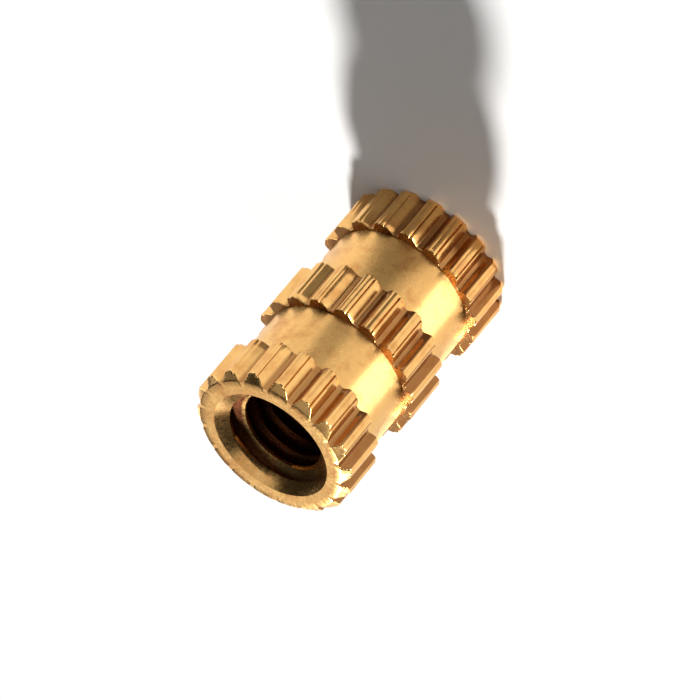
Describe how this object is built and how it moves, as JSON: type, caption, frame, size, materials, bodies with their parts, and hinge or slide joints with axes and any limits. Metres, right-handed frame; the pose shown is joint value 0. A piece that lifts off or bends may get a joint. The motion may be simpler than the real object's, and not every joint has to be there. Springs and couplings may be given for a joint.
{
  "type": "threaded insert",
  "caption": "Straight-knurled brass threaded insert for plastic, with toothed bands, smooth turned necks between them and an M3 threaded bore right through, for heat-set or moulded-in use",
  "frame": {"origin": "centre of the lower end face, on the bore's axis", "axes": "+Z runs along the bore towards the chamfered lead-in end, and the insert stands on its other end on z = 0"},
  "size_m": [0.005, 0.005, 0.008],
  "materials": {
    "brass": "bright turned and knurled"
  },
  "bodies": {
    "root": {"insert": "brass"}
  },
  "joints": []
}
